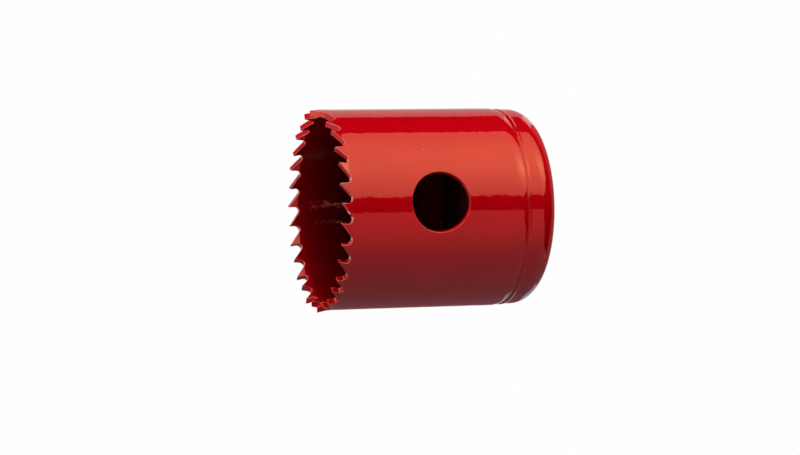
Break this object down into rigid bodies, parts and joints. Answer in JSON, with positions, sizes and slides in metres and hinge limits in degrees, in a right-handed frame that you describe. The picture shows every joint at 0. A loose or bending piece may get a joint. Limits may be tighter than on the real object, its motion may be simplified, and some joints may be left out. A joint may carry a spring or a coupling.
{
  "type": "hole saw",
  "caption": "Hole saw: a toothed steel cup with round side holes, welded to a thick end cap with a threaded arbor hole and drive-pin holes.",
  "frame": {"origin": "centre of the end cap's back face, where the arbor's shoulder seats", "axes": "+Z along the saw's axis, from the back face to the teeth; the side holes face -Y and +Y"},
  "size_m": [0.0414, 0.0417, 0.046],
  "materials": {
    "tube_lacquer": "gloss",
    "cap_lacquer": "gloss"
  },
  "bodies": {
    "root": {"saw_body": "tube_lacquer", "end_cap": "cap_lacquer"}
  },
  "joints": []
}
